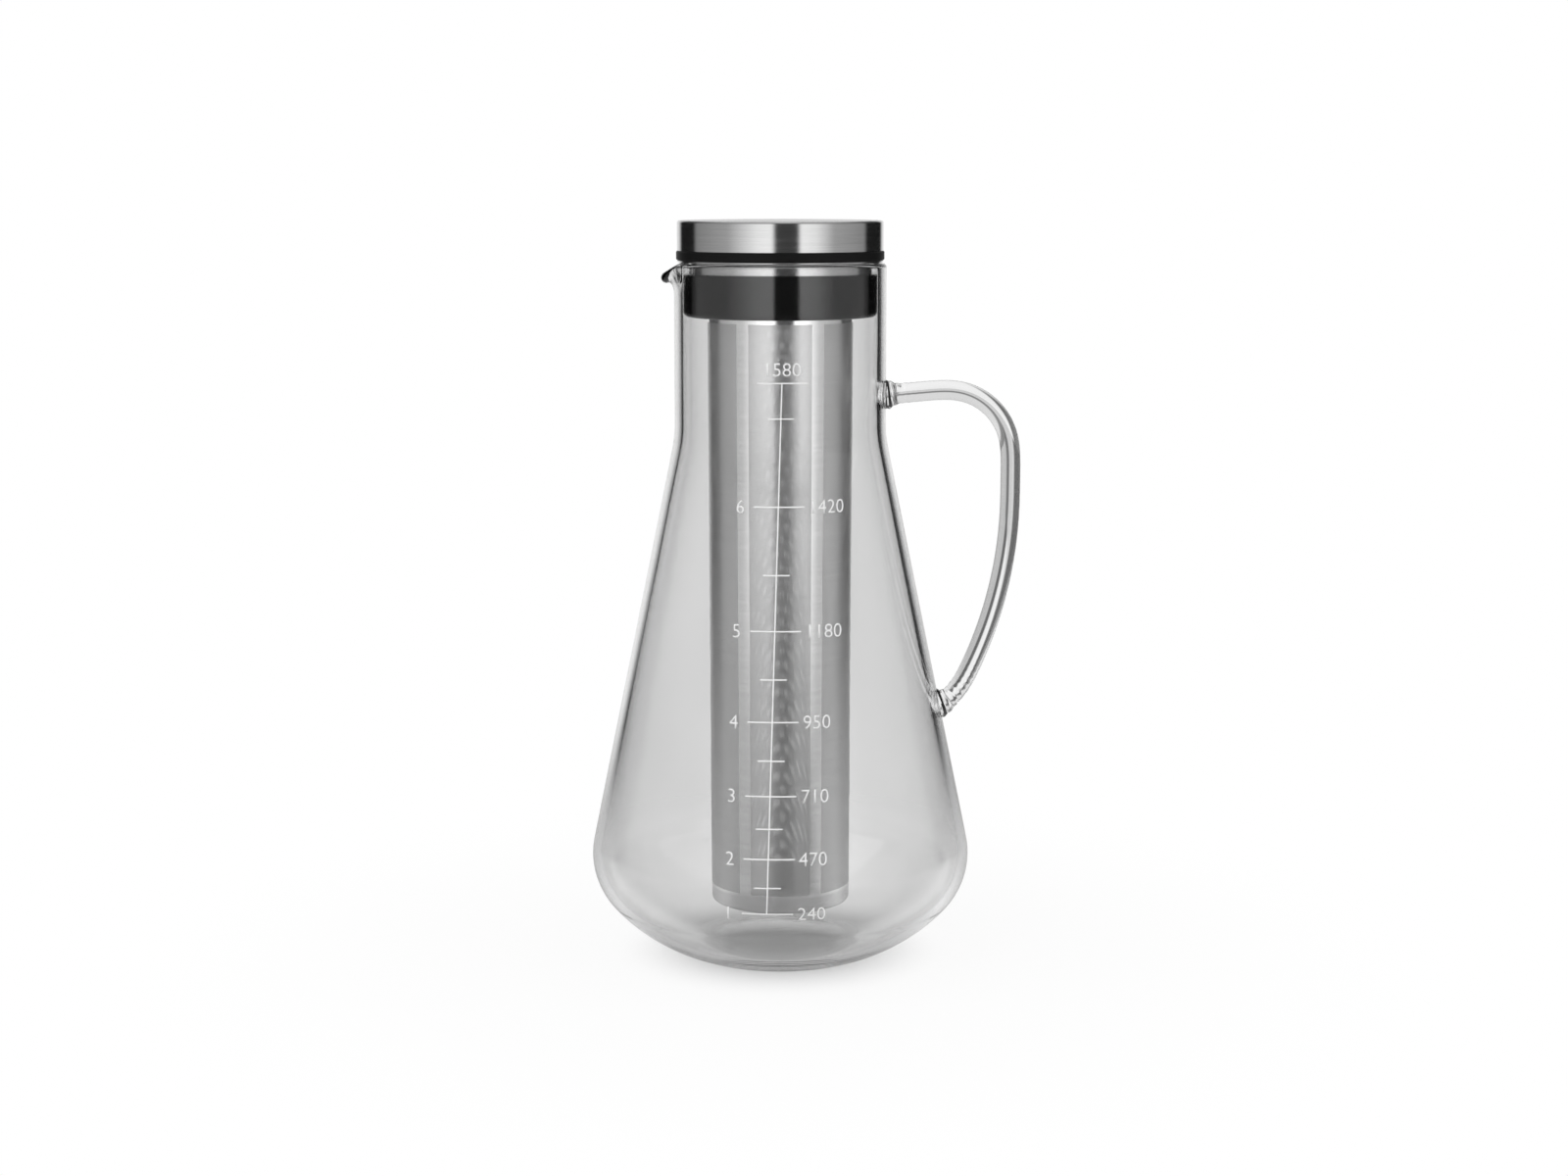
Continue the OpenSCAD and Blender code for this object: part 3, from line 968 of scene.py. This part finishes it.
# Refractions of a ray that passes through glass, and of a reflection that is seen through a wall
through, seen_through = 2.0, 4.0
glass_gain = 1.4                  # makes up for the glass's tint where a reflection is seen through it
ambient = 0.6                     # light on matt surfaces from all around

# Above the ground: brightness in reflections and through the rod, by the height of a direction
upper_wall, ceiling = 0.12, 0.75
upper_from, ceiling_from = (0.1, 0.5), (0.45, 0.9)
rod_sky_from, rod_sky = (0.03, 0.1), (0.25, 0.75)

# On the ground: what changes over a range of distances from the axis, in metres. The shadow near the axis
# is painted by distance: there the white glow thins and the lit ground shows, with its real shadow
contact_reach, painted_contact_shade = (0.01, 0.06), 0.3
shadow_reach, painted_shadow_level = (0.07, 0.25), 0.93
# Painted shade: in reflections the ground is darker close around the foot
foot_reach, painted_foot_shade = (0.03, 0.08), 0.8
near_reach = (0.18, 0.75)
rod_start_reach, rod_far_reach = (0.1, 0.3), (1.1, 1.2)
edge_reach, edge_lift = (0.4, 1.0), 0.35   # white in the ground as seen by reflection inside the glass
ground_level = 0.8
floor_half = 6.0
lamp_target = Vector((0, 0, 0.12))


def level_around(tree, x, y, levels):
    """Brightness of the surroundings in a direction."""
    angle = maths(tree, "ARCTAN2", x, maths(tree, "MULTIPLY", y, -1.0))
    place = maths(tree, "ADD", maths(tree, "DIVIDE", angle, 2 * math.pi), 0.5)
    ramp_node = add(tree, "ShaderNodeValToRGB", {"Fac": place})
    stops = ramp_node.color_ramp.elements
    for degrees, level in levels[1:-1]:
        stops.new(degrees / 360 + 0.5).color = (level, level, level, 1.0)
    for stop, (degrees, level) in ((stops[0], levels[0]), (stops[-1], levels[-1])):
        stop.position = degrees / 360 + 0.5
        stop.color = (level, level, level, 1.0)
    return ramp_node.outputs["Color"]


class Rays:
    """What a ray has met on its way to the studio, as factors of 0 or 1, and its gain."""

    def __init__(self, tree):
        path = add(tree, "ShaderNodeLightPath").outputs
        self.mirrored = maths(tree, "GREATER_THAN", path["Glossy Depth"], 0.5)
        self.matt = maths(tree, "GREATER_THAN", path["Diffuse Depth"], 0.5)
        once = maths(tree, "COMPARE", path["Transmission Depth"], through, 0.5)
        self.rod = maths(tree, "MULTIPLY", once, maths(tree, "SUBTRACT", 1.0, self.mirrored))
        self.edge = maths(tree, "MULTIPLY", once, self.mirrored)
        self.gain = remap(tree, path["Transmission Depth"], through, seen_through, 1.0, glass_gain)


def mix_colours(tree, share, first, second):
    """Blend of two colours."""
    inputs = {0: share, 6: first, 7: second}
    return add(tree, "ShaderNodeMix", inputs, data_type="RGBA").outputs[2]


def brighten(tree, colour, gain):
    """Colour times a gain."""
    return add(tree, "ShaderNodeVectorMath", {0: colour, "Scale": gain}, operation="SCALE").outputs[0]


def studio_world():
    """White for the viewer and through glass, panels in reflections, even light on matt surfaces."""
    world = bpy.data.worlds.new("studio")
    world.use_nodes = True
    scene.world = world
    tree = world.node_tree
    x, y, z = parts(tree, add(tree, "ShaderNodeTexCoord").outputs["Generated"])
    rays = Rays(tree)
    panels = brighten(tree, level_around(tree, x, y, studio_levels), rays.gain)
    upper = grey(tree, remap(tree, z, *ceiling_from, upper_wall, ceiling, True))
    panels = mix_colours(tree, remap(tree, z, *upper_from, 0.0, 1.0, True), panels, upper)
    rod = grey(tree, remap(tree, z, *rod_sky_from, *rod_sky, True))
    colour = mix_colours(tree, rays.mirrored, WHITE, panels)
    colour = mix_colours(tree, rays.rod, colour, rod)
    colour = mix_colours(tree, rays.matt, colour, (ambient, ambient, ambient, 1.0))
    feed(tree, tree.nodes["Background"], {"Color": colour, "Strength": 1.0})


def studio_floor():
    """White ground that keeps a faint real shadow, shown inside a painted shadow near the object, and
    fades into the background.
    """
    corners = [(floor_half * i, floor_half * j, 0) for i, j in ((-1, -1), (1, -1), (1, 1), (-1, 1))]
    mesh = bpy.data.meshes.new("floor")
    mesh.from_pydata(corners, [], [(0, 1, 2, 3)])
    floor = bpy.data.objects.new("floor", mesh)
    scene.collection.objects.link(floor)
    material, tree, shader = new_material("white_ground")
    tree.nodes.remove(shader)
    x, y = parts(tree, object_point(tree))[:2]
    rays = Rays(tree)
    far = diagonal(tree, x, y)
    # Painted shadow: the white glow thins towards the axis, so the lit ground and its real shadow show
    # there
    shade = maths(tree, "MULTIPLY", remap(tree, far, *contact_reach, painted_contact_shade, 1.0, True),
                  remap(tree, far, *shadow_reach, painted_shadow_level, 1.0, True))
    plain = maths(tree, "MAXIMUM", rays.mirrored, shade)
    share = maths(tree, "MULTIPLY", plain, maths(tree, "SUBTRACT", 1.0, rays.matt))
    panels = brighten(tree, level_around(tree, x, y, studio_levels), rays.gain)
    near = level_around(tree, x, y, near_levels)
    # Painted shade close around the foot, in reflections of the ground
    near = brighten(tree, near, remap(tree, far, *foot_reach, painted_foot_shade, 1.0, True))
    panels = mix_colours(tree, remap(tree, far, *near_reach, 0.0, 1.0, True), near, panels)
    behind_rod = maths(tree, "SUBTRACT", x, handle_reach * MM)
    rod = mix_colours(tree, remap(tree, far, *rod_far_reach, 0.0, 1.0, True),
                      level_around(tree, behind_rod, y, rod_near_levels),
                      level_around(tree, behind_rod, y, rod_far_levels))
    lift = maths(tree, "MULTIPLY", rays.edge, remap(tree, far, *edge_reach, edge_lift, 0.0, True))
    panels = mix_colours(tree, lift, panels, WHITE)
    rod_share = maths(tree, "MULTIPLY", rays.rod, remap(tree, far, *rod_start_reach, 0.0, 1.0))
    shown = mix_colours(tree, rays.mirrored, WHITE, panels)
    shown = mix_colours(tree, rod_share, shown, rod)
    glow = add(tree, "ShaderNodeEmission", {"Color": shown, "Strength": 1.0}).outputs[0]
    ground_colour = (ground_level, ground_level, ground_level, 1.0)
    ground = add(tree, "ShaderNodeBsdfDiffuse", {"Color": ground_colour}).outputs[0]
    mixed = add(tree, "ShaderNodeMixShader", {0: share, 1: ground, 2: glow}).outputs[0]
    tree.links.new(mixed, tree.nodes["Material Output"].inputs["Surface"])
    mesh.materials.append(material)


def softbox(name, place, power, size):
    """Square soft lamp that faces the object."""
    lamp = bpy.data.lights.new(name, "AREA")
    lamp.energy = power
    lamp.size = size
    holder = bpy.data.objects.new(name, lamp)
    holder.visible_glossy = False
    holder.location = place
    aim = lamp_target - holder.location
    holder.rotation_euler = aim.to_track_quat("-Z", "Y").to_euler()
    scene.collection.objects.link(holder)


studio_world()
studio_floor()
softbox("key_light", (-0.75, -0.55, 1.15), 9.0, 1.4)
softbox("fill_light", (0.9, -0.35, 0.95), 5.0, 1.4)


# Camera at the photograph's place

camera_place = (0.0013, -0.930, 0.2742)
camera_pitch = 8.72
camera_lens = 60.97

lens = bpy.data.cameras.new("camera")
lens.lens = camera_lens
lens.sensor_width = 36.0
lens.sensor_fit = "HORIZONTAL"
camera = bpy.data.objects.new("camera", lens)
camera.location = camera_place
camera.rotation_euler = (math.radians(90 - camera_pitch), 0.0, 0.0)
scene.collection.objects.link(camera)
scene.camera = camera
scene.view_settings.view_transform = "Standard"
